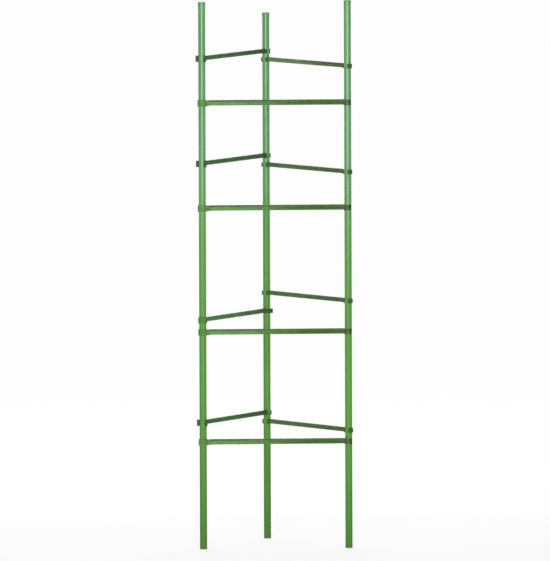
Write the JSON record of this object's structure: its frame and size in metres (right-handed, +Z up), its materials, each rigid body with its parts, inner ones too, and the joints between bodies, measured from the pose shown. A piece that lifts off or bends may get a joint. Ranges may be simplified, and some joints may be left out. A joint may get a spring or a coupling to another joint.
{
  "type": "tomato cage",
  "caption": "Triangular plant support cage: coated tube stakes with pointed feet, tied together by clip-on plastic cross arms that slide along the stakes.",
  "frame": {"origin": "on the soil line, at the centre of the triangle of the three stake axes", "axes": "+Z up along the stakes, the front arms on the -Y side, +X to the right seen from the front"},
  "size_m": [0.355, 0.3107, 1.566],
  "materials": {
    "stake_steel": "thin drawn steel tube, hidden under the coating",
    "stake_coating": "smooth light green extruded polyethylene with a soft gloss",
    "stake_cap": "moulded light green polyethylene",
    "stake_point": "moulded dark green polyethylene",
    "arm_plastic": "moulded olive green polypropylene with a fine satin grain"
  },
  "bodies": {
    "stakes": {"left_tube": "stake_steel", "left_coating": "stake_coating", "left_cap": "stake_cap", "left_point": "stake_point", "right_tube": "stake_steel", "right_coating": "stake_coating", "right_cap": "stake_cap", "right_point": "stake_point", "back_tube": "stake_steel", "back_coating": "stake_coating", "back_cap": "stake_cap", "back_point": "stake_point"},
    "front_arm_1": {"front_arm_1": "arm_plastic"},
    "front_arm_2": {"front_arm_2": "arm_plastic"},
    "front_arm_3": {"front_arm_3": "arm_plastic"},
    "front_arm_4": {"front_arm_4": "arm_plastic"},
    "back_right_arm_1": {"back_right_arm_1": "arm_plastic"},
    "back_right_arm_2": {"back_right_arm_2": "arm_plastic"},
    "back_right_arm_3": {"back_right_arm_3": "arm_plastic"},
    "back_right_arm_4": {"back_right_arm_4": "arm_plastic"},
    "back_left_arm_1": {"back_left_arm_1": "arm_plastic"},
    "back_left_arm_2": {"back_left_arm_2": "arm_plastic"},
    "back_left_arm_3": {"back_left_arm_3": "arm_plastic"},
    "back_left_arm_4": {"back_left_arm_4": "arm_plastic"}
  },
  "joints": [
    {"name": "front_arm_1_slide", "type": "slide", "parent": "stakes", "child": "front_arm_1", "axis": [0, 0, 1], "range_m": [-0.0605, 0.0345]},
    {"name": "front_arm_2_slide", "type": "slide", "parent": "stakes", "child": "front_arm_2", "axis": [0, 0, 1], "range_m": [-0.099, 0.0335]},
    {"name": "front_arm_3_slide", "type": "slide", "parent": "stakes", "child": "front_arm_3", "axis": [0, 0, 1], "range_m": [-0.0945, 0.006]},
    {"name": "front_arm_4_slide", "type": "slide", "parent": "stakes", "child": "front_arm_4", "axis": [0, 0, 1], "range_m": [-0.2295, 0.0055]},
    {"name": "back_right_arm_1_slide", "type": "slide", "parent": "stakes", "child": "back_right_arm_1", "axis": [0, 0, 1], "range_m": [-0.0345, 0.003]},
    {"name": "back_right_arm_2_slide", "type": "slide", "parent": "stakes", "child": "back_right_arm_2", "axis": [0, 0, 1], "range_m": [-0.0335, 0.004]},
    {"name": "back_right_arm_3_slide", "type": "slide", "parent": "stakes", "child": "back_right_arm_3", "axis": [0, 0, 1], "range_m": [-0.0145, 0.099]},
    {"name": "back_right_arm_4_slide", "type": "slide", "parent": "stakes", "child": "back_right_arm_4", "axis": [0, 0, 1], "range_m": [-0.0055, 0.0035]},
    {"name": "back_left_arm_1_slide", "type": "slide", "parent": "stakes", "child": "back_left_arm_1", "axis": [0, 0, 1], "range_m": [-0.003, 0.0715]},
    {"name": "back_left_arm_2_slide", "type": "slide", "parent": "stakes", "child": "back_left_arm_2", "axis": [0, 0, 1], "range_m": [-0.004, 0.0605]},
    {"name": "back_left_arm_3_slide", "type": "slide", "parent": "stakes", "child": "back_left_arm_3", "axis": [0, 0, 1], "range_m": [-0.006, 0.0145]},
    {"name": "back_left_arm_4_slide", "type": "slide", "parent": "stakes", "child": "back_left_arm_4", "axis": [0, 0, 1], "range_m": [-0.0035, 0.0945]}
  ]
}
